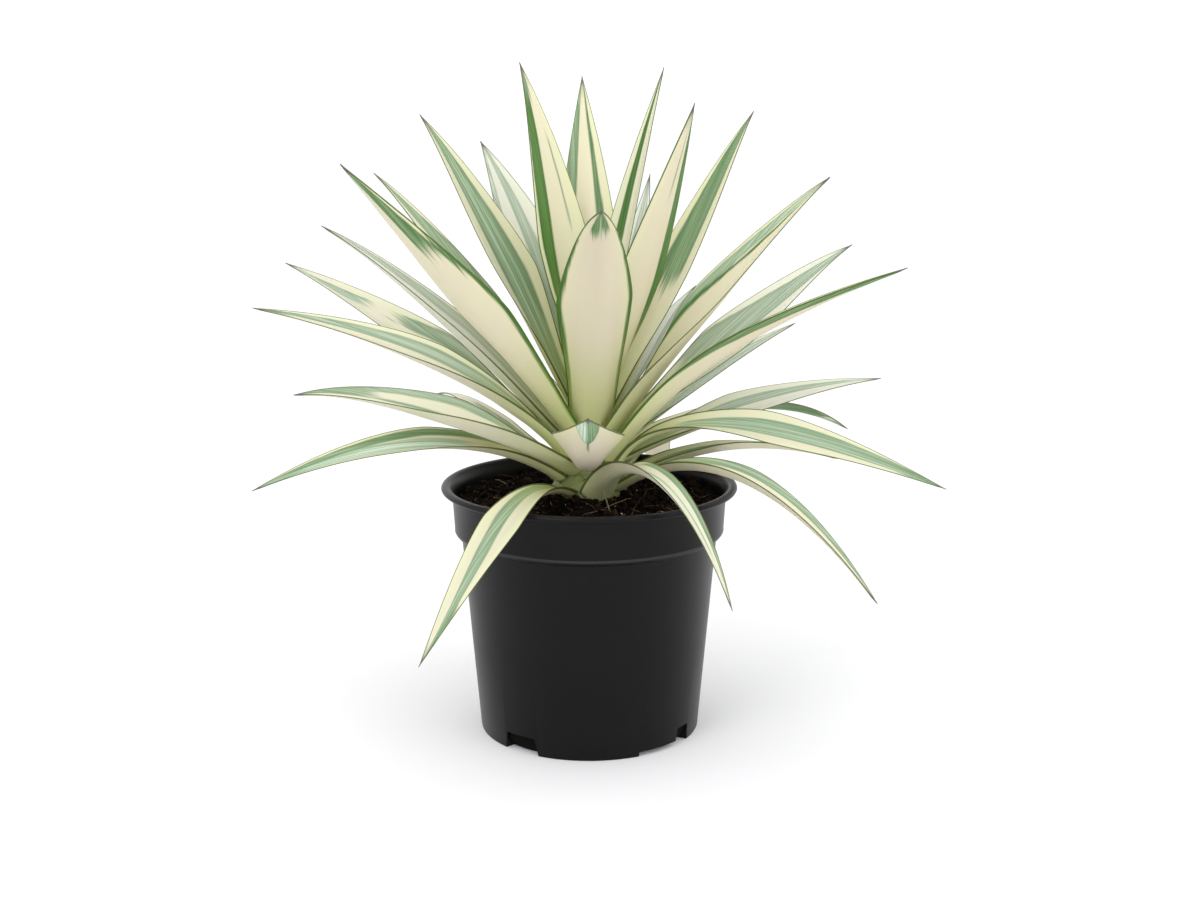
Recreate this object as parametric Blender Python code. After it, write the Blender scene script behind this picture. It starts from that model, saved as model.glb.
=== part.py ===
"""Potted furcraea: a rosette of channelled, variegated leaves in a black nursery pot filled with soil.

Lengths in the tables are millimetres and angles are degrees; the model itself is in metres.
The pot stands on z = 0 with its axis on z. Heading 0 is +X and 270 is -Y, the front.
"""

import bpy
import numpy as np

MM = 0.001

# Pot
LIP_RADIUS = 95.0
POT_HEIGHT = 162.0
FOOT_RADIUS = 71.3
WALL = 1.8
FLOOR = 2.5
BODY_TOP = (82.3, 128.8)
COLLAR_FOOT = (86.6, 132.6)
COLLAR_TOP = (88.1, 157.4)
POT_SEGMENTS = 72

# Drain notches in the foot: first heading, last heading, height, lean of the two ends
NOTCHES = (
    (223.0, 243.0, 11.5, 2.5),
    (43.0, 63.0, 11.5, 2.5),
    (296.0, 321.0, 3.2, 0.6),
    (116.0, 141.0, 3.2, 0.6),
    (320.5, 331.0, 11.5, 1.5),
    (140.5, 151.0, 11.5, 1.5),
)
NOTCH_DEPTH = 7.0

# Soil and stem
GAP = 0.3
SOIL_TOP = 151.5
HOLE_RADIUS = 25.2
HOLE_FLOOR = 116.0
STEM_RADIUS = 24.8
STEM_FOOT = 117.0

# Crown: where the leaf bases sit, from the outermost tier to the innermost
TIERS = 14.0
CROWN_REACH = (26.0, 5.5)
CROWN_HEIGHT = (156.0, 37.0, 18.0)
BASE_BREADTH = (0.85, 0.30)

# Leaf blades
BASE_THICK, MIDDLE_THICK, TIP_THICK, MARGIN_THICK = 1.7, 1.3, 0.9, 0.6
CLASP = 55.0
RINGS = 14
ACROSS = (1.0, 0.5, 0.0, -0.5, -1.0)

# One row a leaf, roughly outermost first: tier in the crown, breadth of its foot beside the others
# of its tier, heading of the tip, lean of the base from that heading, reach and height of the
# elbow of the midline, reach and height of the tip, width, roll and fold
LEAVES = (
    (1.8, 0.7, 245, -7, 91, 190, 214, 105, 26, -20, 39),
    (1.8, 1.2, 72, -15, 110, 200, 185, 115, 34, 0, 25),
    (1.0, 1.6, -58, -19, 85, 226, 156, 117, 20, -11, 45),
    (1.9, 1.1, 125, 12, 140, 205, 197, 191, 26, 8, 24),
    (2.5, 0.7, -31, -6, 106, 218, 199, 112, 29, -7, 38),
    (3.0, 1.0, 13, -8, 88, 195, 170, 169, 29, -9, 29),
    (4.0, 1.0, 195, 11, 91, 218, 213, 169, 28, -26, 37),
    (4.3, 1.0, 41, 7, 149, 217, 252, 164, 38, -12, 21),
    (5.4, 0.5, 1, -30, 41, 238, 231, 156, 29, 45, 30),
    (5.5, 0.8, 191, 44, 118, 230, 185, 225, 43, -19, 48),
    (5.6, 0.8, 98, 0, 110, 225, 205, 180, 34, 0, 30),
    (6.1, 0.8, 26, -8, 113, 211, 225, 213, 37, 13, 24),
    (7.1, 1.1, 169, 40, 63, 244, 225, 269, 34, -21, 46),
    (6.8, 1.0, 118, 0, 105, 243, 200, 198, 34, 0, 30),
    (6.9, 1.3, -24, -6, 68, 254, 202, 308, 26, 4, 62),
    (7.4, 1.0, 41, 1, 115, 226, 192, 248, 34, -3, 30),
    (8.1, 0.5, 144, 12, 142, 250, 272, 287, 42, -12, 39),
    (8.5, 0.5, 270, -3, 41, 162, 127, 228, 59, -1, 56),
    (8.6, 1.0, 30, -15, 138, 277, 208, 305, 42, 20, 26),
    (8.8, 0.9, 88, 0, 110, 270, 185, 305, 34, 0, 30),
    (9.1, 1.0, 164, 11, 112, 285, 182, 322, 33, -6, 48),
    (9.6, 1.0, -10, -12, 114, 328, 148, 357, 55, 26, 30),
    (9.9, 0.8, 50, 0, 60, 248, 112, 279, 24, 0, 30),
    (10.0, 1.0, 210, 8, 99, 300, 163, 367, 48, 17, 26),
    (10.7, 1.0, 72, -1, 97, 293, 135, 352, 31, 4, 17),
    (10.9, 1.0, 160, 12, 99, 317, 149, 356, 38, -8, 18),
    (11.0, 1.5, 273, 8, 64, 320, 147, 345, 55, 7, 42),
    (11.5, 1.0, 37, -14, 93, 339, 136, 395, 48, -2, 25),
    (11.8, 0.8, 119, 2, 76, 313, 158, 374, 48, -8, 28),
    (12.4, 1.0, -45, 6, 73, 362, 87, 401, 40, -5, 20),
    (12.7, 1.0, 147, 16, 77, 331, 133, 393, 48, -7, 33),
    (13.3, 0.6, 93, -4, 36, 344, 98, 418, 42, 0, 31),
    (13.9, 0.5, 41, -3, 27, 324, 63, 423, 27, 4, 43),
    (14.2, 0.9, 131, 5, 32, 360, 68, 426, 46, 3, 15),
)


def smooth(x):
    x = np.clip(x, 0, 1)
    return x * x * (3 - 2 * x)


def material(name, color, roughness):
    found = bpy.data.materials.new(name)
    found.use_nodes = True
    shader = found.node_tree.nodes["Principled BSDF"]
    shader.inputs["Base Color"].default_value = (*color, 1)
    shader.inputs["Roughness"].default_value = roughness
    return found


def add(name, points, faces, look, rounded=True):
    """One object from points in millimetres."""
    mesh = bpy.data.meshes.new(name)
    mesh.from_pydata((np.asarray(points, float) * MM).tolist(), [], [list(f) for f in faces])
    mesh.validate()
    if rounded:
        mesh.shade_smooth()
    found = bpy.data.objects.new(name, mesh)
    bpy.context.scene.collection.objects.link(found)
    if look is not None:
        mesh.materials.append(look)
    return found


def turned(name, profile, segments, look):
    """A closed solid turned about z from (radius, height) points that start and end on the axis."""
    angles = np.radians(np.arange(segments) * 360.0 / segments)
    points = [(0.0, 0.0, profile[0][1])]
    for radius, height in profile[1:-1]:
        points += [(radius * np.cos(a), radius * np.sin(a), height) for a in angles]
    points.append((0.0, 0.0, profile[-1][1]))
    rows = len(profile) - 2
    faces = []
    for j in range(segments):
        k = (j + 1) % segments
        faces.append((0, 1 + k, 1 + j))
        for i in range(rows - 1):
            low, high = 1 + i * segments, 1 + (i + 1) * segments
            faces.append((low + j, low + k, high + k, high + j))
        top = 1 + (rows - 1) * segments
        faces.append((top + j, top + k, len(points) - 1))
    return add(name, points, faces, look)


def body_radius(height):
    """Outer radius of the tapering wall."""
    share = height / BODY_TOP[1]
    return FOOT_RADIUS + (BODY_TOP[0] - FOOT_RADIUS) * share


def inner_wall():
    """Inside of the wall from the floor up to the lip, as (radius, height)."""
    return [
        (body_radius(0) - WALL - 3.6, FLOOR),
        (body_radius(4) - WALL - 1.0, FLOOR + 0.9),
        (body_radius(7) - WALL, 7.0),
        (body_radius(60) - WALL, 60.0),
        (BODY_TOP[0] - WALL, 126.0),
        (82.6, 129.6),
        (84.5, 132.0),
        (COLLAR_FOOT[0] - WALL + 0.2, 135.0),
        (COLLAR_TOP[0] - WALL, 154.0),
        (87.2, 157.6),
    ]


def pot_profile():
    outside = [
        (0.0, 0.0),
        (58.0, 0.0),
        (FOOT_RADIUS - 0.7, 0.0),
        (FOOT_RADIUS, 0.8),
        (body_radius(60), 60.0),
        BODY_TOP,
        (BODY_TOP[0] + 1.3, BODY_TOP[1] + 0.5),
        (COLLAR_FOOT[0] - 0.9, COLLAR_FOOT[1] - 2.0),
        (COLLAR_FOOT[0] - 0.1, COLLAR_FOOT[1] - 0.7),
        COLLAR_FOOT,
        COLLAR_TOP,
        (COLLAR_TOP[0] + 0.9, COLLAR_TOP[1] + 0.5),
        (LIP_RADIUS - 2.2, COLLAR_TOP[1] + 0.7),
        (LIP_RADIUS - 0.5, COLLAR_TOP[1] + 1.2),
        (LIP_RADIUS, COLLAR_TOP[1] + 2.3),
        (LIP_RADIUS - 0.5, COLLAR_TOP[1] + 3.6),
        (LIP_RADIUS - 2.6, POT_HEIGHT),
        (90.6, POT_HEIGHT - 0.3),
        (88.9, POT_HEIGHT - 1.8),
    ]
    return outside + inner_wall()[::-1] + [(0.0, FLOOR)]


def notch_cutter():
    """Six curved wedges in one mesh, each a stretch of the foot's ring."""
    points, faces = [], []
    low, high = FOOT_RADIUS - NOTCH_DEPTH, FOOT_RADIUS + 4
    for first, last, height, lean in NOTCHES:
        steps = max(int((last - first) / 2.5), 3)
        start = len(points)
        for i in range(steps + 1):
            share = i / steps
            for z, spread in ((-3.0, lean / 2), (height, -lean / 2)):
                angle = np.radians(first - spread + share * (last - first + 2 * spread))
                for radius in (low, high):
                    points.append((radius * np.cos(angle), radius * np.sin(angle), z))
        for i in range(steps):
            a, b = start + 4 * i, start + 4 * (i + 1)
            faces += [(a, b, b + 1, a + 1), (a + 2, a + 3, b + 3, b + 2)]
            faces += [(a, a + 2, b + 2, b), (a + 1, b + 1, b + 3, a + 3)]
        a, b = start, start + 4 * steps
        faces += [(a, a + 1, a + 3, a + 2), (b, b + 2, b + 3, b + 1)]
    found = add("notch_cutter", points, faces, None, rounded=False)
    found.hide_render = True
    found.display_type = "WIRE"
    return found


def soil_profile():
    wall = [(radius - GAP, height + GAP) for radius, height in inner_wall()[1:-2]]
    low = (inner_wall()[0][0] - GAP, FLOOR + GAP)
    rim = 85.9 - GAP
    return (
        [(0.0, FLOOR + GAP), low]
        + wall
        + [
            (rim - 0.4, SOIL_TOP - 1.2),
            (78.0, SOIL_TOP - 0.2),
            (52.0, SOIL_TOP + 0.5),
            (HOLE_RADIUS, SOIL_TOP),
            (HOLE_RADIUS, HOLE_FLOOR),
            (0.0, HOLE_FLOOR),
        ]
    )


def crown(tier, foot):
    """Reach, height and share of the full breadth at the base of a leaf."""
    f = (tier - 1) / (TIERS - 1)
    reach = CROWN_REACH[0] + (CROWN_REACH[1] - CROWN_REACH[0]) * f
    height = CROWN_HEIGHT[0] + CROWN_HEIGHT[1] * f + CROWN_HEIGHT[2] * f * f
    return reach, height, (BASE_BREADTH[0] + (BASE_BREADTH[1] - BASE_BREADTH[0]) * f) * foot


def stem_profile():
    cone = []
    for tier in np.linspace(1, 14.4, 9):
        reach, height, _ = crown(tier, 1)
        cone.append((reach - (1.3 if tier < 3 else 1.9), height))
    return (
        [
            (0.0, STEM_FOOT),
            (13.0, STEM_FOOT + 0.6),
            (21.5, STEM_FOOT + 5.0),
            (STEM_RADIUS, STEM_FOOT + 13.0),
            (STEM_RADIUS, SOIL_TOP + 1.0),
        ]
        + cone
        + [(0.0, cone[-1][1] + 1.5)]
    )


def breadth(s, base):
    rise = base + (1 - base) * smooth(s / 0.5)
    taper = 1 - np.clip((s - 0.45) / 0.55, 0, 1) ** 1.18
    return np.maximum(rise * taper, 0.03)


def midline(row, count):
    """Points of the midline evenly along its length, with the heading at each."""
    tier, foot, heading, lean, elbow_reach, elbow_height, tip_reach, tip_height = row[:8]
    base_reach, base_height, _ = crown(tier, foot)
    t = np.linspace(0, 1, 400)
    reach = (1 - t) ** 2 * base_reach + 2 * t * (1 - t) * elbow_reach + t * t * tip_reach
    height = (1 - t) ** 2 * base_height + 2 * t * (1 - t) * elbow_height + t * t * tip_height
    angle = np.radians(heading + lean * (1 - t) ** 2)
    curve = np.stack([reach * np.cos(angle), reach * np.sin(angle), height], axis=1)
    steps = np.linalg.norm(np.diff(curve, axis=0), axis=1)
    length = np.concatenate([[0], np.cumsum(steps)])
    even = np.linspace(0, length[-1], count)
    points = np.stack([np.interp(even, length, curve[:, k]) for k in range(3)], axis=1)
    return points, np.interp(even, length, angle)


def unit(vectors):
    return vectors / np.linalg.norm(vectors, axis=1)[:, None]


def blade(row, count):
    """Rings round the blade from its foot to its tip: the upper face, then the underside back."""
    tier, foot = row[:2]
    width, roll, fold = row[8:]
    base_breadth = crown(tier, foot)[2]
    points, angle = midline(row, count)
    s = np.linspace(0, 1, count)
    along = unit(np.gradient(points, axis=0))
    level = np.stack([-np.sin(angle), np.cos(angle), np.zeros(count)], axis=1)
    side = unit(level - along * (level * along).sum(axis=1)[:, None])
    face = np.cross(along, side)
    turn = np.radians(roll) * smooth(s / 0.6)[:, None]
    side, face = (
        side * np.cos(turn) + face * np.sin(turn),
        face * np.cos(turn) - side * np.sin(turn),
    )
    half = width / 2 * breadth(s, base_breadth)
    steep = np.clip(along[:, 2], 0.05, 1)
    wrap = np.minimum(half * steep / np.hypot(points[:, 0], points[:, 1]), 1.2)
    near = 1 - smooth(s / 0.35)
    own = np.radians(fold) * (1 - 0.35 * s)
    bend = own + (np.maximum(wrap, np.radians(CLASP)) - own) * near
    share = 0.35 + 0.6 * near
    middle = np.interp(s, (0, 0.5, 1), (BASE_THICK, MIDDLE_THICK, TIP_THICK))
    rings = []
    for under in (False, True):
        for u in reversed(ACROSS) if under else ACROSS:
            inner = np.minimum(abs(u), share)
            outer = np.maximum(abs(u) - share, 0)
            x = share / bend * np.sin(bend * inner / share) + outer * np.cos(bend)
            y = share / bend * (1 - np.cos(bend * inner / share)) + outer * np.sin(bend)
            drop = (MARGIN_THICK + (middle - MARGIN_THICK) * (1 - u * u)) * under
            across = side * (np.sign(u) * half * x)[:, None]
            rings.append(points + across + face * (half * y - drop)[:, None])
    return np.stack(rings, axis=1)


def add_leaf(number, row, look):
    rings = blade(row, RINGS)
    count, size = rings.shape[:2]
    top = size // 2
    faces = []
    for i in range(count - 1):
        for j in range(size):
            k = (j + 1) % size
            a, b, c, d = i * size + j, i * size + k, (i + 1) * size + k, (i + 1) * size + j
            if top <= j < size - 1:
                faces += [(a, b, d), (b, c, d)]
            else:
                faces += [(a, b, c), (a, c, d)]
    last = (count - 1) * size
    for j in range(top - 1):
        k = size - 1 - j
        faces += [(j, k, j + 1), (j + 1, k, k - 1)]
        faces += [(last + j, last + j + 1, last + k), (last + j + 1, last + k - 1, last + k)]
    return add(f"leaf_{number:02d}", rings.reshape(-1, 3), faces, look)


for stale in list(bpy.data.objects):
    bpy.data.objects.remove(stale)

plastic = material("black_plastic", (0.018, 0.018, 0.020), 0.42)
earth = material("soil", (0.045, 0.026, 0.018), 0.95)
stub = material("stem", (0.26, 0.30, 0.12), 0.6)
leafage = material("leaf", (0.52, 0.58, 0.36), 0.5)

pot = turned("pot", pot_profile(), POT_SEGMENTS, plastic)
cut = pot.modifiers.new("notches", "BOOLEAN")
cut.operation = "DIFFERENCE"
cut.solver = "EXACT"
cut.use_self = True
cut.object = notch_cutter()
turned("soil", soil_profile(), POT_SEGMENTS, earth)
turned("stem", stem_profile(), 32, stub)
for number, row in enumerate(LEAVES, 1):
    add_leaf(number, row, leafage)
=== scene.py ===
"""Potted furcraea: finer leaves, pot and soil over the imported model.

Lengths in the tables are millimetres and angles are degrees; the scene itself is in metres.
Heading 0 is +X and 270 is -Y, the front. On a leaf, u runs across from -1 to 1 and s from its
foot, 0, to its tip, 1.
"""

import math
from itertools import combinations

import bpy
import numpy as np
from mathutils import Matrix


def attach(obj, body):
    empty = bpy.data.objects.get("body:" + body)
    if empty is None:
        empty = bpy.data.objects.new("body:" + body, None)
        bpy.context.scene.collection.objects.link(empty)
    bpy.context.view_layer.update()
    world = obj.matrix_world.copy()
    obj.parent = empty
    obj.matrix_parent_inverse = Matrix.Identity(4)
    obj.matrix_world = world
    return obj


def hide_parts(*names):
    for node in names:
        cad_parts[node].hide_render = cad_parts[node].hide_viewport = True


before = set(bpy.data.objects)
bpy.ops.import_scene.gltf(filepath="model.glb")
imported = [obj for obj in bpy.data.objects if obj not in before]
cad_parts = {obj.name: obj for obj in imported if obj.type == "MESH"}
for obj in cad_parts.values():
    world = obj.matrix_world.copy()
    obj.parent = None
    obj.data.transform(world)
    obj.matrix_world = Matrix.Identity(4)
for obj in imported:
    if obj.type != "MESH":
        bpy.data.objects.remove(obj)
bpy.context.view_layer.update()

MM = 0.001

# Pot
LIP_RADIUS = 95.0
POT_HEIGHT = 162.0
FOOT_RADIUS = 71.3
WALL = 1.8
FLOOR = 2.5
BODY_TOP = (82.3, 128.8)
COLLAR_FOOT = (86.6, 132.6)
COLLAR_TOP = (88.1, 157.4)
POT_SEGMENTS = 240
SHARP_ANGLE = 38
# Drain notches in the foot: first heading, last heading, height, lean of the two ends
NOTCHES = (
    (223.0, 243.0, 11.5, 2.5),
    (43.0, 63.0, 11.5, 2.5),
    (296.0, 321.0, 3.2, 0.6),
    (116.0, 141.0, 3.2, 0.6),
    (320.5, 331.0, 11.5, 1.5),
    (140.5, 151.0, 11.5, 1.5),
)
NOTCH_DEPTH = 7.0
# How far the wedges that cut them reach outside and below the foot, and degrees a step
NOTCH_OUTSIDE, NOTCH_BELOW = 4, 3.0
NOTCH_STEP = 1.5

# Soil, its gap to the pot and the hole in it for the stem
GAP = 0.3
SOIL_TOP = 151.5
SOIL_EDGE = 85.4
SOIL_RINGS = 46
SOIL_SEGMENTS = 200
SOIL_GRAIN = 0.45
SOIL_SEED = 7
HOLE_RADIUS = 25.2
HOLE_FLOOR = 116.0
# How far the surface dips below the top, how strong its waves are, and the slopes by which it
# heaps up to the crown: rise, radius where each begins, and width
SOIL_DIP = 0.9
SOIL_WAVES = 0.8
SOIL_SLOPES = ((1.2, 60, 30), (4.5, 40, 14))
# Loose lumps: longest edge of a lump of radius 1, and how uneven its corners are
LUMP_EDGE = 1.1
LUMP_UNEVENNESS = 0.18
# Threads: sides and how much they thin, then a fibre's steps and tries to stay on the soil
THREAD_SIDES = 5
THREAD_TAPER = 0.7
FIBRE_STEPS = 7
FIBRE_TRIES = 12
# A dry splinter of leaf that stands in the soil before the crown
SPLINTER = ((13.5, -40.5, 150.5), (12.0, -41.2, 156.0), (10.2, -41.8, 162.0), (8.2, -42.0, 168.5))
SPLINTER_RADIUS = 0.55

# Crown, from the outermost tier to the innermost
TIERS = 14.0
CROWN_REACH = (26.0, 5.5)
CROWN_HEIGHT = (156.0, 37.0, 18.0)
BASE_BREADTH = (0.85, 0.30)

# Blades
BASE_THICK, MIDDLE_THICK, TIP_THICK, MARGIN_THICK = 1.7, 1.3, 0.9, 0.6
# Where in s a leaf is full width, where it starts to taper and how, and its least share of width
WIDEST, TAPER_FROM, TAPER_POWER, SPINE_WIDTH = 0.5, 0.45, 1.18, 0.012
# The least that each half of the foot curls round the stem, in degrees, the most, in radians, and
# where in s that ends
CLASP = 55.0
MOST_WRAP = 1.2
CLASP_ENDS = 0.35
# Where in s the roll is complete, and how much of the fold is lost at the tip
ROLLED_BY = 0.6
UNFOLDED = 0.35
# Share of the half width that is rounded, beyond the foot and more at it
ROUNDED, MORE_ROUNDED = 0.35, 0.6
MIDLINE_STEPS = 800
RINGS = 84
HALF_ACROSS = (0, 0.06, 0.13, 0.21, 0.3, 0.4, 0.5, 0.6, 0.7, 0.79, 0.87, 0.93, 0.97, 1.0)
ACROSS = tuple(reversed(HALF_ACROSS)) + tuple(-u for u in HALF_ACROSS[1:])

# One row a leaf, outermost first: tier in the crown, breadth of its foot, heading of the tip, lean
# of the base from it, reach and height of the elbow of the midline, reach and height of the tip,
# width, roll and fold
LEAVES = (
    (1.8, 0.7, 245, -7, 91, 190, 214, 105, 26, -20, 39),
    (1.8, 1.2, 72, -15, 110, 200, 185, 115, 34, 0, 25),
    (1.0, 1.6, -58, -19, 85, 226, 156, 117, 20, -11, 45),
    (1.9, 1.1, 125, 12, 140, 205, 197, 191, 26, 8, 24),
    (2.5, 0.7, -31, -6, 106, 218, 199, 112, 29, -7, 38),
    (3.0, 1.0, 13, -8, 88, 195, 170, 169, 29, -9, 29),
    (4.0, 1.0, 195, 11, 91, 218, 213, 169, 28, -26, 37),
    (4.3, 1.0, 41, 7, 149, 217, 252, 164, 38, -12, 21),
    (5.4, 0.5, 1, -30, 41, 238, 231, 156, 29, 45, 30),
    (5.5, 0.8, 191, 44, 118, 230, 185, 225, 43, -19, 48),
    (5.6, 0.8, 98, 0, 110, 225, 205, 180, 34, 0, 30),
    (6.1, 0.8, 26, -8, 113, 211, 225, 213, 37, 13, 24),
    (7.1, 1.1, 169, 40, 63, 244, 225, 269, 34, -21, 46),
    (6.8, 1.0, 118, 0, 105, 243, 200, 198, 34, 0, 30),
    (6.9, 1.3, -24, -6, 68, 254, 202, 308, 26, 4, 62),
    (7.4, 1.0, 41, 1, 115, 226, 192, 248, 34, -3, 30),
    (8.1, 0.5, 144, 12, 142, 250, 272, 287, 42, -12, 39),
    (8.5, 0.5, 270, -3, 41, 162, 127, 228, 59, -1, 56),
    (8.6, 1.0, 30, -15, 138, 277, 208, 305, 42, 20, 26),
    (8.8, 0.9, 88, 0, 110, 270, 185, 305, 34, 0, 30),
    (9.1, 1.0, 164, 11, 112, 285, 182, 322, 33, -6, 48),
    (9.6, 1.0, -10, -12, 114, 328, 148, 357, 55, 26, 30),
    (9.9, 0.8, 50, 0, 60, 248, 112, 279, 24, 0, 30),
    (10.0, 1.0, 210, 8, 99, 300, 163, 367, 48, 17, 26),
    (10.7, 1.0, 72, -1, 97, 293, 135, 352, 31, 4, 17),
    (10.9, 1.0, 160, 12, 99, 317, 149, 356, 38, -8, 18),
    (11.0, 1.5, 273, 8, 64, 320, 147, 345, 55, 7, 42),
    (11.5, 1.0, 37, -14, 93, 339, 136, 395, 48, -2, 25),
    (11.8, 0.8, 119, 2, 76, 313, 158, 374, 48, -8, 28),
    (12.4, 1.0, -45, 6, 73, 362, 87, 401, 40, -5, 20),
    (12.7, 1.0, 147, 16, 77, 331, 133, 393, 48, -7, 33),
    (13.3, 0.6, 93, -4, 36, 344, 98, 418, 42, 0, 31),
    (13.9, 0.5, 41, -3, 27, 324, 63, 423, 27, 4, 43),
    (14.2, 0.9, 131, 5, 32, 360, 68, 426, 46, 3, 15),
)

# Clasping feet of the outer leaves round the stem: heading, lowest and highest point, and how far
# out each one lies from the innermost
SHEATHS = (
    (20, 150, 172, 0.0),
    (95, 150, 172, 0.1),
    (165, 150, 173, 0.0),
    (232, 150, 174, 0.1),
    (305, 150, 175, 0.2),
    (268, 150, 169, 0.7),
    (340, 150, 166, 0.7),
    (200, 150, 166, 0.7),
    (55, 150, 165, 0.6),
    (128, 150, 165, 0.6),
)
# Half of the angle that each goes round, how much narrower its top is, how far its two ends droop,
# its thickness, and the points across and up it
SHEATH_SPREAD = 44.0
SHEATH_NARROWING = 0.94
SHEATH_DROOP = 2.5
SHEATH_THICK = 0.5
SHEATH_ACROSS, SHEATH_UP = 17, 13
# The stem under them: how far its side and its slope lie inside the crown's reach, and that slope
STEM_INSET, SLOPE_INSET, STEM_SLOPE = 1.3, 1.1, 17.5

# Green stripes of a face: middle in u at the tip and at the foot, half width in u at both, where it
# starts and ends in s, and tone from 0, blue-grey, to 1, dark green. A tone below 0 is paler still,
# a half width below 0 closes the stripe before that end, and -0.2 and 1.2 run past foot and tip.
BAND = (0.0, 0.0, 0.42, 0.3, -0.2, 1.2, 0.3)
PATCH = (0.0, 0.0, 0.62, 0.62, 0.86, 1.2, 0.4)
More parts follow.
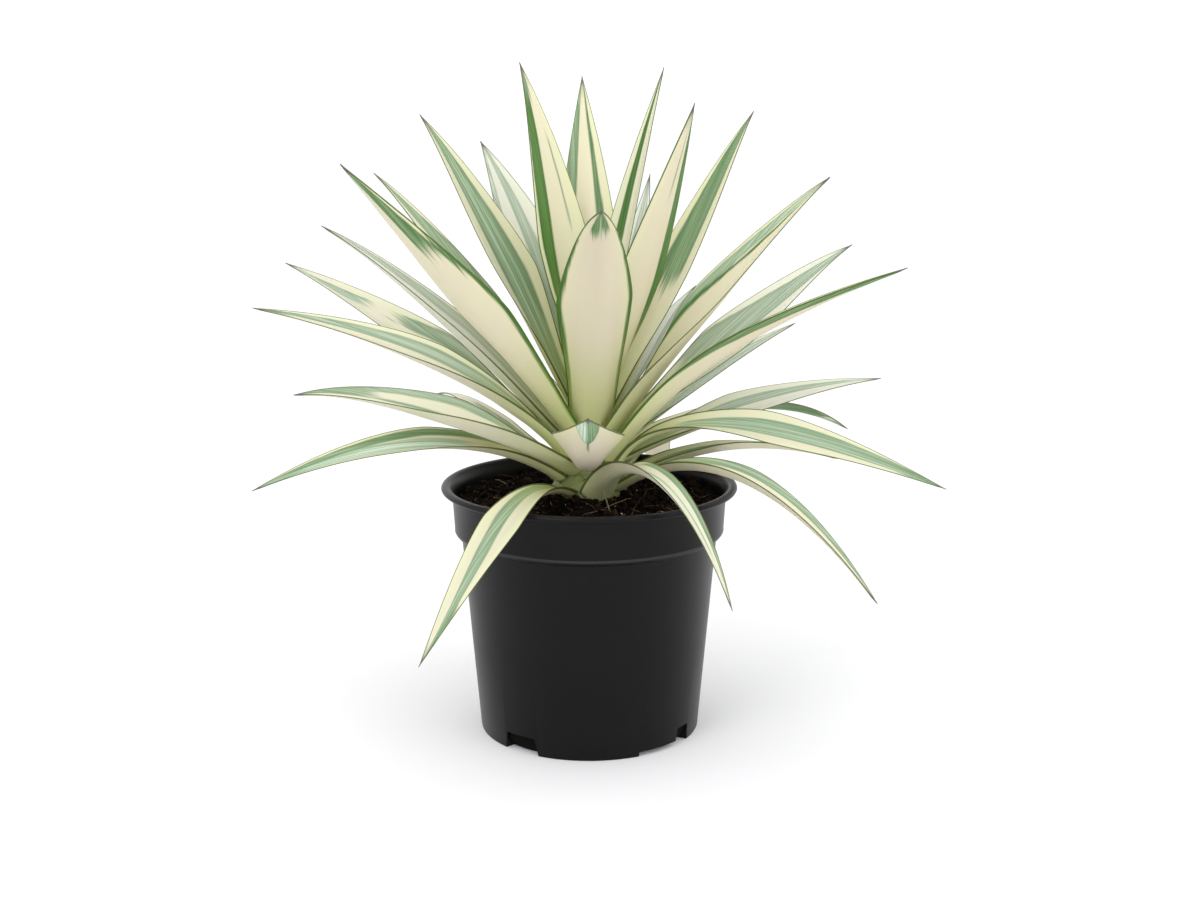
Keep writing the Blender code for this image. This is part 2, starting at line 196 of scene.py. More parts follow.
# How a leaf differs from its sisters: stripes of the upper face and of the underside, greyness,
# pinkness of the underside, and how green its dark edge is
COMMON = {"upper": (BAND,), "under": (PATCH,), "grey": 0.0, "pink": 0.5, "rim": 0.2}
MARKS = {
    1: {
        "upper": (
            (0.5, -0.85, 0.38, 0.2, -0.2, 1.2, 0.1),
            (0.75, 0.75, 0.3, 0.3, 0.78, 1.2, 0.5),
        ),
        "grey": 0.2,
    },
    3: {
        "upper": (
            (0.8, 0.9, 0.32, 0.12, 0.3, 1.2, 0.45),
            (0.15, 0.3, 0.1, 0.04, 0.2, 0.8, -0.8),
        ),
        "grey": 0.4,
    },
    4: {
        "upper": ((-0.4, -0.7, 0.15, 0.2, -0.2, 0.7, 0.0),),
        "grey": 0.5,
    },
    5: {
        "upper": ((0.8, 0.85, 0.36, 0.25, -0.2, 1.2, 0.25),),
        "under": ((0.4, 0.6, 0.6, 0.4, 0.4, 1.2, -0.2),),
        "grey": 0.25, "pink": 0.0,
    },
    6: {
        "upper": ((0.1, 0.1, 0.6, 0.5, -0.2, 1.2, 0.3),),
        "pink": 0.0,
    },
    7: {
        "upper": (
            (0.2, 0.05, 0.6, 0.5, 0.3, 1.2, -0.75),
            (-0.45, -0.95, 0.26, 0.12, -0.2, 1.2, 0.35),
            (0.2, 0.2, 0.8, 0.8, 0.84, 1.2, 0.0),
        ),
        "pink": 0.2,
    },
    8: {
        "upper": (
            (-0.1, -0.1, 0.9, 0.9, 0.2, 0.9, 1.0),
            (-0.1, -0.1, 0.9, 0.9, 0.88, 1.2, -0.3),
        ),
        "under": (
            (0.0, 0.0, 1.2, 1.2, 0.3, 0.88, 1.0),
            (0.0, 0.0, 1.2, 1.2, 0.86, 1.2, -0.2),
        ),
    },
    9: {
        "upper": (
            (0.18, 0.2, 0.7, 0.16, 0.2, 1.2, 0.05),
            (0.0, 0.0, 0.8, 0.8, 0.86, 1.2, 0.4),
        ),
        "grey": 0.2,
    },
    10: {
        "upper": (
            (-0.85, -0.9, 0.2, 0.14, 0.1, 0.9, -0.2),
            (-0.6, -0.6, 0.36, 0.36, 0.74, 1.2, 0.3),
            (-0.3, -0.25, 0.05, 0.05, 0.15, 0.75, 0.2),
        ),
        "grey": 0.4, "pink": 0.0,
    },
    12: {
        "upper": ((0.35, 0.5, 0.26, 0.2, -0.2, 1.2, -0.2),),
        "grey": 0.7,
    },
    13: {
        "upper": (
            (-0.42, -0.65, 0.27, 0.2, -0.2, 1.2, -0.1),
            (-0.3, -0.3, 0.4, 0.4, 0.9, 1.2, 0.5),
        ),
        "grey": 0.3,
    },
    15: {
        "under": (
            (0.0, 0.0, 1.1, 1.1, 0.83, 1.2, 0.6),
            (1.0, 1.0, 0.8, -0.25, 0.1, 1.2, 0.65),
            (-1.0, -1.0, 0.8, -0.25, 0.1, 1.2, 0.65),
        ),
        "rim": 0.8,
    },
    16: {
        "upper": ((-0.3, -0.3, 0.9, 0.9, -0.2, 1.2, -0.6),),
        "grey": 0.5,
    },
    17: {
        "upper": (
            (0.26, -1.6, 0.32, 0.3, 0.7, 1.2, -0.1),
            (0.2, -1.5, 0.2, 0.28, 0.1, 0.62, 0.1),
        ),
        "grey": 0.4,
    },
    18: {
        "under": (
            (0.98, -2.78, 1.0, -2.75, 0.6, 1.2, 0.3),
            # Painted light: this half of the tip patch is pale, for the lit side of the leaf's
            # channel
            (-0.98, 2.78, 1.0, -2.75, 0.6, 1.2, -1.0),
            (0.0, 0.0, 0.035, 0.035, 0.66, 0.8, 0.6),
        ),
        "pink": 1.0,
    },
    19: {
        "upper": ((-0.45, 1.3, 0.62, 0.3, 0.3, 1.2, 0.2),),
        "grey": 0.75,
    },
    21: {
        "upper": ((-0.5, -0.9, 0.25, 0.15, -0.2, 1.2, -0.9),),
        "grey": 1.0,
    },
    22: {
        "upper": (
            (0.45, 1.25, 0.3, -0.08, -0.2, 1.2, -0.35),
            (-0.07, 1.5, 0.05, 0.08, -0.2, 1.2, 0.9),
        ),
    },
    23: {
        "upper": ((0.0, -1.3, 0.3, 0.35, -0.2, 1.2, -0.4),),
        "grey": 1.3,
    },
    24: {
        "under": (
            (0.45, 0.5, 0.36, 0.3, 0.67, 1.2, 0.7),
            (0.98, 0.96, 0.02, 0.13, -0.2, 0.75, 1.0),
            (0.9, 0.9, 0.14, 0.14, 0.6, 0.72, 0.8),
            (-0.6, -0.6, 0.4, 0.4, 0.85, 1.2, -1.0),
        ),
        "pink": 0.6, "rim": 0.8,
    },
    25: {
        "upper": ((0.0, 0.0, 0.5, 0.4, -0.2, 1.2, -0.2),),
        "grey": 1.3,
    },
    26: {
        "upper": ((0.3, -2.2, 0.5, 0.45, 0.2, 1.2, 0.25),),
        "grey": 0.2,
    },
    27: {
        "under": (
            (0.05, 0.05, 0.62, 0.62, 0.81, 1.2, 0.7),
            (0.98, 0.96, 0.01, 0.17, -0.2, 0.8, 1.0),
            (-0.98, -0.96, 0.01, 0.17, -0.2, 0.8, 1.0),
            (0.05, 0.05, 0.07, 0.04, 0.78, 1.2, -0.8),
        ),
        "pink": 1.0, "rim": 1.0,
    },
    28: {
        "upper": ((0.12, 0.35, 0.66, 0.24, 0.42, 1.2, 0.6),),
    },
    29: {
        "upper": (
            (-0.2, -0.25, 0.28, 0.1, -0.2, 1.2, -0.3),
            (0.9, 0.9, 0.3, 0.2, 0.6, 1.2, -0.4),
        ),
        "grey": 0.8,
    },
    30: {
        "under": (
            (0.0, -0.05, 0.04, 0.08, 0.74, 0.92, -0.1),
            (0.85, 0.85, 0.45, 0.3, -0.2, 1.2, 1.0),
        ),
        "pink": 0.6, "rim": 0.8,
    },
    31: {
        "upper": (
            (-0.12, -0.38, 0.44, 0.38, -0.2, 1.2, 0.4),
            (-0.08, -0.3, 0.05, 0.04, 0.1, 0.85, -1.2),
            (-0.3, -0.52, 0.03, 0.02, 0.1, 0.8, -1.0),
        ),
        "grey": 0.2,
    },
    32: {
        "upper": (
            (0.85, 0.75, 0.4, 0.36, -0.2, 1.2, 0.35),
            (-0.4, -0.62, 0.1, 0.22, -0.2, 1.2, 0.65),
        ),
        "rim": 0.8,
    },
    33: {
        "upper": ((0.4, 0.3, 0.22, 0.2, -0.2, 1.2, 1.0),),
        "grey": 0.3, "rim": 0.7,
    },
    34: {
        "upper": (
            (0.6, 0.5, 0.45, 0.15, -0.2, 1.2, 1.0),
            (0.4, 0.4, 0.5, 0.5, 0.87, 1.2, 0.4),
            (-0.5, -0.5, 0.03, 0.03, 0.5, 0.8, 0.4),
        ),
        "rim": 0.6,
    },
}

# Studio: the floor's rings in millimetres, then metres, for each light its name, place, size and
# power, and the camera's place and how many degrees it looks down
STUDIO_RINGS = (0.0, 400.0, 1000.0, 2000.0, 4000.0, 8000.0, 20000.0)
STUDIO_DEPTH = 5.0
STUDIO_SEGMENTS = 96
LIGHTS = (
    ("key_light", (-1.1, -1.5, 1.9), 1.2, 12),
    ("fill_light", (1.6, -1.0, 1.2), 1.4, 6),
)
LIGHTS_AIM = (0, 0, 0.2)
BACKDROP_STRENGTH = 1.2
CAMERA_PLACE = (0.0069, -1.045, 0.405)
CAMERA_DIP = 12
LENS, SENSOR = 50.0, 36.0


def smooth(x):
    """0 below 0, 1 above 1 and smooth between them."""
    x = np.clip(x, 0, 1)
    return x * x * (3 - 2 * x)


def paint(red, green, blue):
    """Linear colour of a paint chip given on the usual 0 to 255 scale."""
    chip = np.array((red, green, blue)) / 255
    return (*np.where(chip < 0.04045, chip / 12.92, ((chip + 0.055) / 1.055) ** 2.4), 1.0)


def between(first, second, share):
    """The first colour at share 0 and the second at 1."""
    return tuple(a + (b - a) * share for a, b in zip(first, second))


class Shade:
    """A value that changes over a surface: Python maths on it adds the nodes."""

    def __init__(self, finish, socket):
        self.finish, self.socket = finish, socket

    def maths(self, operation, *values):
        return self.finish.node("Math", {"operation": operation}, *values)

    def __add__(self, other):
        return self.maths("ADD", self, other)

    def __sub__(self, other):
        return self.maths("SUBTRACT", self, other)

    def __rsub__(self, other):
        return self.maths("SUBTRACT", other, self)

    def __mul__(self, other):
        return self.maths("MULTIPLY", self, other)

    __radd__, __rmul__ = __add__, __mul__

    def __abs__(self):
        return self.maths("ABSOLUTE", self)

    def least(self, other):
        return self.maths("MINIMUM", self, other)

    def most(self, other):
        return self.maths("MAXIMUM", self, other)

    def ease(self, low, high):
        """0 below low, 1 above high and smooth between them."""
        settings = {"interpolation_type": "SMOOTHSTEP"}
        return self.finish.node("MapRange", settings, self, low, high, 0.0, 1.0)


class Finish:
    """A procedural material for one finish of the plant."""

    def __init__(self, name, **fixed):
        self.material = bpy.data.materials.new(name)
        self.material.use_nodes = True
        self.tree = self.material.node_tree
        self.surface = self.tree.nodes["Principled BSDF"]
        for socket, value in fixed.items():
            self.surface.inputs[socket.replace("_", " ")].default_value = value

    def node(self, kind, settings=None, *values, output=0, **named):
        """A node with its settings, its inputs in order or by name, and the output to use."""
        made = self.tree.nodes.new("ShaderNode" + kind)
        for key, value in (settings or {}).items():
            setattr(made, key, value)
        free = [socket for socket in made.inputs if socket.enabled]
        pairs = list(zip(free, values))
        pairs += [(made.inputs[key.replace("_", " ")], value) for key, value in named.items()]
        for socket, value in pairs:
            if isinstance(value, Shade):
                self.tree.links.new(value.socket, socket)
            else:
                socket.default_value = value
        return Shade(self, [socket for socket in made.outputs if socket.enabled][output])

    def split(self, vector):
        return [self.node("SeparateXYZ", None, vector, output=k) for k in range(3)]

    def painted(self, name):
        """The three numbers that the mesh carries under a name."""
        settings = {"attribute_name": name}
        return self.split(self.node("Attribute", settings, output=1))

    def point(self, x, y, z):
        return self.node("CombineXYZ", None, x, y, z)

    def place(self):
        """Where a point is on the piece, in metres."""
        return self.node("TexCoord", output=3)

    def noise(self, place, scale, detail, roughness):
        settings = {"Scale": scale, "Detail": detail, "Roughness": roughness}
        return self.node("TexNoise", None, Vector=place, **settings)

    def mix(self, share, first, second):
        return self.node("Mix", {"data_type": "RGBA"}, share, first, second)

    def relief(self, height, distance, strength):
        return self.node("Bump", None, Strength=strength, Distance=distance, Height=height)

    def cover(self, **sockets):
        """The finished material, with what varies over the surface put on it."""
        for name, value in sockets.items():
            self.tree.links.new(value.socket, self.surface.inputs[name.replace("_", " ")])
        return self.material


def add(name, points, faces, finish, slot, body="root"):
    """A mesh from points in millimetres that rides on the pot."""
    mesh = bpy.data.meshes.new(name)
    mesh.from_pydata((np.asarray(points, float) * MM).tolist(), [], [list(f) for f in faces])
    mesh.shade_smooth()
    mesh.materials.append(finish)
    piece = bpy.data.objects.new(name, mesh)
    bpy.context.scene.collection.objects.link(piece)
    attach(piece, body)
    return piece


def carry(piece, name, values):
    """Three numbers for each point of a piece, for its material to read."""
    layer = piece.data.attributes.new(name, "FLOAT_VECTOR", "POINT")
    layer.data.foreach_set("vector", np.asarray(values, np.float32).reshape(-1))


# Leaves

# Colours of the middle and of the margins, fresh and greyed
HEART = (paint(217, 212, 182), paint(214, 218, 206))
FLANK = (paint(217, 219, 178), paint(216, 221, 204))
# The underside, from beige to pinkish, and greyed
UNDERSIDE = (paint(216, 211, 178), paint(214, 205, 182))
GREYED_UNDERSIDE = paint(208, 212, 198)
# The dark edge, from olive to green, and its width in millimetres
RIM = (paint(84, 90, 44), paint(50, 98, 6))
RIM_WIDTH = 0.45
# The dark and the light threads of a stripe, from blue-grey to dark green, and greyed
DEEP = (paint(114, 146, 108), paint(44, 96, 8))
PALE = (paint(176, 194, 168), paint(74, 124, 34))
GREYED_DEEP, GREYED_PALE = paint(154, 164, 148), paint(196, 204, 190)
FOOT_GREEN, TIP_GREEN, DRY_SPINE = paint(188, 198, 124), paint(116, 134, 106), paint(92, 86, 80)
# How far a leaf's greyness takes its stripes and its underside to their greyed colours
GREYING = 0.7


def crown(tier, foot):
    """Reach, height and share of the full breadth at the base of a leaf."""
    f = (tier - 1) / (TIERS - 1)
    reach = CROWN_REACH[0] + (CROWN_REACH[1] - CROWN_REACH[0]) * f
    height = CROWN_HEIGHT[0] + CROWN_HEIGHT[1] * f + CROWN_HEIGHT[2] * f * f
    return reach, height, (BASE_BREADTH[0] + (BASE_BREADTH[1] - BASE_BREADTH[0]) * f) * foot


def breadth(s, base):
    """Share of the full width along a leaf."""
    rise = base + (1 - base) * smooth(s / WIDEST)
    taper = 1 - np.clip((s - TAPER_FROM) / (1 - TAPER_FROM), 0, 1) ** TAPER_POWER
    return np.maximum(rise * taper, SPINE_WIDTH)


def midline(row, count):
    """Points of the midline evenly along its length, the heading at each, and the length."""
    tier, foot, heading, lean, elbow_reach, elbow_height, tip_reach, tip_height = row[:8]
    base_reach, base_height, _ = crown(tier, foot)
    t = np.linspace(0, 1, MIDLINE_STEPS)
    reach = (1 - t) ** 2 * base_reach + 2 * t * (1 - t) * elbow_reach + t * t * tip_reach
    height = (1 - t) ** 2 * base_height + 2 * t * (1 - t) * elbow_height + t * t * tip_height
    angle = np.radians(heading + lean * (1 - t) ** 2)
    curve = np.stack([reach * np.cos(angle), reach * np.sin(angle), height], axis=1)
    steps = np.linalg.norm(np.diff(curve, axis=0), axis=1)
    length = np.concatenate([[0], np.cumsum(steps)])
    even = np.linspace(0, length[-1], count)
    points = np.stack([np.interp(even, length, curve[:, k]) for k in range(3)], axis=1)
    return points, np.interp(even, length, angle), length[-1]


def unit(vectors):
    return vectors / np.linalg.norm(vectors, axis=1)[:, None]


def blade(row, count):
    """Rings round the blade, with u, s and side of each point, and its place in millimetres."""
    tier, foot = row[:2]
    width, roll, fold = row[8:]
    base_breadth = crown(tier, foot)[2]
    points, angle, length = midline(row, count)
    s = np.linspace(0, 1, count)
    along = unit(np.gradient(points, axis=0))
    level = np.stack([-np.sin(angle), np.cos(angle), np.zeros(count)], axis=1)
    side = unit(level - along * (level * along).sum(axis=1)[:, None])
    face = np.cross(along, side)
    turn = np.radians(roll) * smooth(s / ROLLED_BY)[:, None]
    side, face = (
        side * np.cos(turn) + face * np.sin(turn),
        face * np.cos(turn) - side * np.sin(turn),
    )
    half = width / 2 * breadth(s, base_breadth)
    steep = np.clip(along[:, 2], 0.05, 1)
    wrap = np.minimum(half * steep / np.hypot(points[:, 0], points[:, 1]), MOST_WRAP)
    near = 1 - smooth(s / CLASP_ENDS)
    own = np.radians(fold) * (1 - UNFOLDED * s)
    bend = own + (np.maximum(wrap, np.radians(CLASP)) - own) * near
    share = ROUNDED + MORE_ROUNDED * near
    middle = np.interp(s, (0, 0.5, 1), (BASE_THICK, MIDDLE_THICK, TIP_THICK))
    # Thinner where the blade narrows to its spine
    middle = np.minimum(middle, 0.25 + half * 0.9)
    margin = np.minimum(MARGIN_THICK, 0.2 + half * 0.4)
    rings, marks, places = [], [], []
    whole = np.ones(count)
    for under in (False, True):
        for u in reversed(ACROSS) if under else ACROSS:
            inner = np.minimum(abs(u), share)
            outer = np.maximum(abs(u) - share, 0)
            x = share / bend * np.sin(bend * inner / share) + outer * np.cos(bend)
            y = share / bend * (1 - np.cos(bend * inner / share)) + outer * np.sin(bend)
            drop = (margin + (middle - margin) * (1 - u * u)) * under
            across = side * (np.sign(u) * half * x)[:, None]
            rings.append(points + across + face * (half * y - drop)[:, None])
            marks.append(np.stack([u * whole, s, under * whole], axis=1))
            places.append(np.stack([u * half, s * length, half], axis=1))
    return [np.stack(part, axis=1) for part in (rings, marks, places)]


def leaf_skin(number):
    """Beige leaf with yellower margins, green stripes, a thin dark edge and a dry tip."""
    mark = {**COMMON, **MARKS.get(number, {})}
    grey = mark["grey"]
    heart, flank = between(*HEART, grey), between(*FLANK, grey)
    beige = between(between(*UNDERSIDE, mark["pink"]), GREYED_UNDERSIDE, grey * GREYING)
    rim = between(*RIM, mark["rim"])
    skin = Finish(f"leaf_skin_{number:02d}", Subsurface_Weight=0.1, Subsurface_Scale=0.003,
                  Specular_IOR_Level=0.4)
    u, s, under = skin.painted("blade")
    wide, far, half = skin.painted("place")
    streak = skin.noise(skin.point(wide * 0.5, far * 0.006, number * 3.7), 1.0, 3.0, 0.6)
    hair = skin.noise(skin.point(wide * 1.3, far * 0.008, number * 5.1), 1.0, 2.0, 0.6)
    cloud = skin.noise(skin.point(wide * 0.05, far * 0.02, number * 1.3), 1.0, 2.0, 0.5)
    brush = skin.noise(skin.point(wide * 0.8, far * 0.004, number * 7.9), 1.0, 2.0, 0.7)

    def striped(colour, stripes):
        """A face's colour with its stripes, whose ends and sides are brushed."""
        for tip, base, tip_half, base_half, start, end, tone in stripes:
            faded = grey * GREYING * (1 - max(tone, 0))
            deep = between(between(*DEEP, tone), GREYED_DEEP, faded)
            pale = between(between(*PALE, tone), GREYED_PALE, faded)
            away = abs(u - (s * (tip - base) + base)) + (streak - 0.5) * 0.14
            inside = s * (tip_half - base_half) + base_half - away
            across = inside.ease(-0.05, 0.05)
            reached = (s + (brush - 0.5) * 0.18).ease(start - 0.02, start + 0.05)
            left = 1 - (s + (brush - 0.5) * 0.2).ease(end - 0.05, end + 0.02)
            green = skin.mix(hair.ease(0.36, 0.64) * inside.ease(-0.05, 0.26), deep, pale)
            shown = across * reached * left * (0.88 + 0.2 * streak)
            colour = skin.mix(shown.least(1.0), colour, green)
        return colour

    yellow = abs(u).ease(0.45, 0.95)
    top = skin.mix((yellow + hair.ease(0.5, 0.8) * 0.3).least(1.0), heart, flank)
    top = striped(top, mark["upper"])
    low = skin.mix(yellow * 0.6, beige, flank)
    low = striped(skin.mix(cloud.ease(0.3, 0.7) * 0.25, low, heart), mark["under"])
    colour = skin.mix(under, top, low)
    colour = skin.mix((1 - s.ease(0.0, 0.42)) * 0.7, colour, FOOT_GREEN)
    colour = skin.mix(s.ease(0.9, 0.99) * 0.6, colour, TIP_GREEN)
    inset = (1 - abs(u)) * half
    reach = RIM_WIDTH * (1 + 1.6 * (1 - s.ease(0.0, 0.6))) + (streak - 0.5) * 0.2
    edge = 1 - (inset - reach).ease(-0.15, 0.1)
    colour = skin.mix(edge * 0.95, colour, rim)
    colour = skin.mix(s.ease(0.955, 0.985), colour, DRY_SPINE)
    veins = skin.noise(skin.point(wide * 4.5, far * 0.03, number), 1.0, 1.0, 0.5)
    return skin.cover(
        Base_Color=colour,
        Roughness=0.4 + cloud * 0.12 + edge * 0.1,
        Normal=skin.relief(veins + streak * 0.6, 0.00022, 0.5),
    )


def add_leaf(number, row):
    """The finer blade that replaces one leaf."""
    rings, marks, places = blade(row, RINGS)
    count, size = rings.shape[:2]
    faces = []
    for i in range(count - 1):
        for j in range(size):
            k = (j + 1) % size
            faces.append((i * size + j, i * size + k, (i + 1) * size + k, (i + 1) * size + j))
    last = (count - 1) * size
    for j in range(size // 2 - 1):
        k = size - 1 - j
        faces.append((j, k, k - 1, j + 1))
        faces.append((last + j, last + j + 1, last + k - 1, last + k))
    piece = add(f"blade_{number:02d}", rings.reshape(-1, 3), faces, leaf_skin(number), "leaf")
    carry(piece, "blade", marks)
    carry(piece, "place", places)
    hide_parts(f"leaf_{number:02d}")


def sheath_finish():
    """Olive base of a leaf with a dark margin, darker towards the bottom with painted shade of the
    crown.
    """
    base = Finish("sheath_skin", Specular_IOR_Level=0.35)
    u, rise, number = base.painted("sheath")
    place = base.place()
    fleck = base.noise(place, 260.0, 3.0, 0.6)
    line = base.noise(base.point(u * 9.0, rise * 0.6, number * 4.0), 1.0, 2.0, 0.6)
    # Painted shade: the olive darkens towards the bottom, for the shade deep in the crown
    colour = base.mix(rise, paint(72, 78, 38), paint(136, 146, 88))
    colour = base.mix(line.ease(0.4, 0.7) * 0.5, colour, paint(112, 122, 64))
    edge = abs(u).most(rise).ease(0.88, 0.96)
    colour = base.mix(edge * 0.85, colour, paint(48, 66, 20))
    return base.cover(
        Base_Color=colour,
        Roughness=0.5 + fleck * 0.2,
        Normal=base.relief(line, 0.0003, 0.6),
    )


def add_sheaths():
    """The broad foot that each outer leaf keeps round the stem, as thin overlapping scales."""
    across, up = np.linspace(-1, 1, SHEATH_ACROSS), np.linspace(0, 1, SHEATH_UP)
    points, faces, marks = [], [], []
    for number, (heading, low, high, away) in enumerate(SHEATHS):
        start = len(points)
        for side in (0.0, SHEATH_THICK):
            for rise in up:
                height = low + (high - low) * rise
                spread = math.radians(SHEATH_SPREAD) * math.sqrt(1 - SHEATH_NARROWING * rise ** 3)
                level = (height - CROWN_HEIGHT[0]) / CROWN_HEIGHT[1]
                slope = CROWN_REACH[0] - SLOPE_INSET - STEM_SLOPE * level
                reach = min(CROWN_REACH[0] - STEM_INSET, slope) + away + side
                for u in across:
                    angle = math.radians(heading) + spread * u
                    z = height - SHEATH_DROOP * u * u * rise
                    points.append((reach * math.cos(angle), reach * math.sin(angle), z))
                    marks.append((u, rise, number))
        wide, tall = SHEATH_ACROSS, SHEATH_UP
        for i in range(tall - 1):
            for j in range(wide - 1):
                a, b = start + i * wide + j, start + (i + 1) * wide + j
                c, d = a + wide * tall, b + wide * tall
                faces += [(a, b, b + 1, a + 1), (c, c + 1, d + 1, d)]
        for j in range(wide - 1):
            a, b = start + j, start + (tall - 1) * wide + j
            c, d = a + wide * tall, b + wide * tall
            faces += [(a, a + 1, c + 1, c), (b, d, d + 1, b + 1)]
        for i in range(tall - 1):
            a, b = start + i * wide, start + i * wide + wide - 1
            c, d = a + wide * tall, b + wide * tall
            faces += [(a, c, c + wide, a + wide), (b, b + wide, d + wide, d)]
    piece = add("leaf_sheaths", points, faces, sheath_finish(), "leaf")
    carry(piece, "sheath", marks)


# Pot


def body_radius(height):
    """Outer radius of the tapering wall."""
    share = height / BODY_TOP[1]
    return FOOT_RADIUS + (BODY_TOP[0] - FOOT_RADIUS) * share


def inner_wall():
    """Inside of the wall from the floor up to the lip, as (radius, height)."""
    return [
        (body_radius(0) - WALL - 3.6, FLOOR),
        (body_radius(4) - WALL - 1.0, FLOOR + 0.9),
        (body_radius(7) - WALL, 7.0),
        (body_radius(60) - WALL, 60.0),
        (BODY_TOP[0] - WALL, 126.0),
        (82.6, 129.6),
        (84.5, 132.0),
        (COLLAR_FOOT[0] - WALL + 0.2, 135.0),
        (COLLAR_TOP[0] - WALL, 154.0),
        (87.2, 157.6),
    ]


def pot_profile():
    """The pot's section, as (radius, height): the outside, the lip, then the inside down again."""
    outside = [
        (0.0, 0.0),
        (58.0, 0.0),
        (FOOT_RADIUS - 0.9, 0.0),
        (FOOT_RADIUS - 0.3, 0.25),
        (FOOT_RADIUS, 0.8),
        (body_radius(60), 60.0),
        (BODY_TOP[0] - 0.05, BODY_TOP[1] - 0.6),
        (BODY_TOP[0] + 0.15, BODY_TOP[1] - 0.05),
        (BODY_TOP[0] + 1.3, BODY_TOP[1] + 0.5),
        (COLLAR_FOOT[0] - 0.9, COLLAR_FOOT[1] - 2.0),
        (COLLAR_FOOT[0] - 0.3, COLLAR_FOOT[1] - 1.3),
        (COLLAR_FOOT[0] + 0.1, COLLAR_FOOT[1] - 0.5),
        (COLLAR_FOOT[0] + 0.12, COLLAR_FOOT[1] + 0.3),
        (COLLAR_FOOT[0] + 0.02, COLLAR_FOOT[1] + 0.9),
        (COLLAR_TOP[0] - 0.05, COLLAR_TOP[1] - 0.8),
        (COLLAR_TOP[0] + 0.2, COLLAR_TOP[1]),
        (COLLAR_TOP[0] + 0.9, COLLAR_TOP[1] + 0.5),
        (LIP_RADIUS - 2.2, COLLAR_TOP[1] + 0.7),
        (LIP_RADIUS - 1.1, COLLAR_TOP[1] + 0.85),
        (LIP_RADIUS - 0.4, COLLAR_TOP[1] + 1.4),
        (LIP_RADIUS - 0.05, COLLAR_TOP[1] + 2.1),
        (LIP_RADIUS - 0.1, COLLAR_TOP[1] + 2.9),
        (LIP_RADIUS - 0.6, COLLAR_TOP[1] + 3.7),
        (LIP_RADIUS - 1.5, COLLAR_TOP[1] + 4.3),
        (LIP_RADIUS - 2.7, POT_HEIGHT),
        (91.4, POT_HEIGHT - 0.05),
        (90.2, POT_HEIGHT - 0.5),
        (89.3, POT_HEIGHT - 1.2),
        (88.7, POT_HEIGHT - 2.2),
    ]
    return outside + inner_wall()[::-1] + [(0.0, FLOOR)]


def turned(profile, segments):
    """Points and faces of a solid turned about z, from a profile that starts and ends on z."""
    angles = np.radians(np.arange(segments) * 360.0 / segments)
    points = [(0.0, 0.0, profile[0][1])]
    for radius, height in profile[1:-1]:
        points += [(radius * np.cos(a), radius * np.sin(a), height) for a in angles]
    points.append((0.0, 0.0, profile[-1][1]))
    rows = len(profile) - 2
    faces = []
    for j in range(segments):
        k = (j + 1) % segments
        faces.append((0, 1 + k, 1 + j))
        for i in range(rows - 1):
            low, high = 1 + i * segments, 1 + (i + 1) * segments
            faces.append((low + j, low + k, high + k, high + j))
        top = 1 + (rows - 1) * segments
        faces.append((top + j, top + k, len(points) - 1))
    return points, faces


def notch_wedges():
    """Six curved wedges, each a stretch of the foot's ring."""
    points, faces = [], []
    low, high = FOOT_RADIUS - NOTCH_DEPTH, FOOT_RADIUS + NOTCH_OUTSIDE
    for first, last, height, lean in NOTCHES:
        steps = max(int((last - first) / NOTCH_STEP), 3)
        start = len(points)
        for i in range(steps + 1):
            share = i / steps
            for z, spread in ((-NOTCH_BELOW, lean / 2), (height, -lean / 2)):
                angle = np.radians(first - spread + share * (last - first + 2 * spread))
                for radius in (low, high):
                    points.append((radius * np.cos(angle), radius * np.sin(angle), z))
        for i in range(steps):
            a, b = start + 4 * i, start + 4 * (i + 1)
            faces += [(a, b, b + 1, a + 1), (a + 2, a + 3, b + 3, b + 2)]
            faces += [(a, a + 2, b + 2, b), (a + 1, b + 1, b + 3, a + 3)]
        a, b = start, start + 4 * steps
        faces += [(a, a + 1, a + 3, a + 2), (b, b + 2, b + 3, b + 1)]
    return points, faces


def pot_plastic():
    """Black moulded plastic with a fine grain, with painted highlights along the ridge at the
    collar's foot and at the lip.
    """
    plastic = Finish("black_plastic", Specular_IOR_Level=0.15)
    place = plastic.place()
    z = plastic.split(place)[2]
    grain = plastic.noise(place, 900.0, 2.0, 0.5)
    haze = plastic.noise(place, 22.0, 3.0, 0.55)
    # Painted highlights: a light band along the ridge at the collar's foot and a faint one at the
    # top of the lip
    ridge = 1 - (abs(z - COLLAR_FOOT[1] * MM) - 0.4 * MM).ease(0.0, 0.7 * MM)
    lip = (z - (POT_HEIGHT - 1.5) * MM).ease(0.0, 1.2 * MM)
    painted_highlight = (ridge * 0.25).most(lip * 0.05)
    black = plastic.mix(haze, paint(8, 8, 10), paint(12, 12, 14))
    colour = plastic.mix(painted_highlight, black, paint(92, 92, 94))
    return plastic.cover(
        Base_Color=colour,
        Roughness=0.3 + haze * 0.1,
        Normal=plastic.relief(grain, 0.0001, 0.25),
    )


def add_pot():
    """The turned pot with its drain notches cut."""
    plastic = pot_plastic()
    pot = add("nursery_pot", *turned(pot_profile(), POT_SEGMENTS), plastic, "pot")
    cutter = add("notch_wedges", *notch_wedges(), plastic, "pot")
    cut = pot.modifiers.new("notches", "BOOLEAN")
    cut.operation, cut.solver, cut.use_self, cut.object = "DIFFERENCE", "EXACT", True, cutter
    bpy.context.view_layer.objects.active = pot
    bpy.ops.object.modifier_apply(modifier=cut.name)
    bpy.data.objects.remove(cutter)
    pot.data.shade_smooth()
    pot.data.set_sharp_from_angle(angle=math.radians(SHARP_ANGLE))
    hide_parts("pot")


# Soil


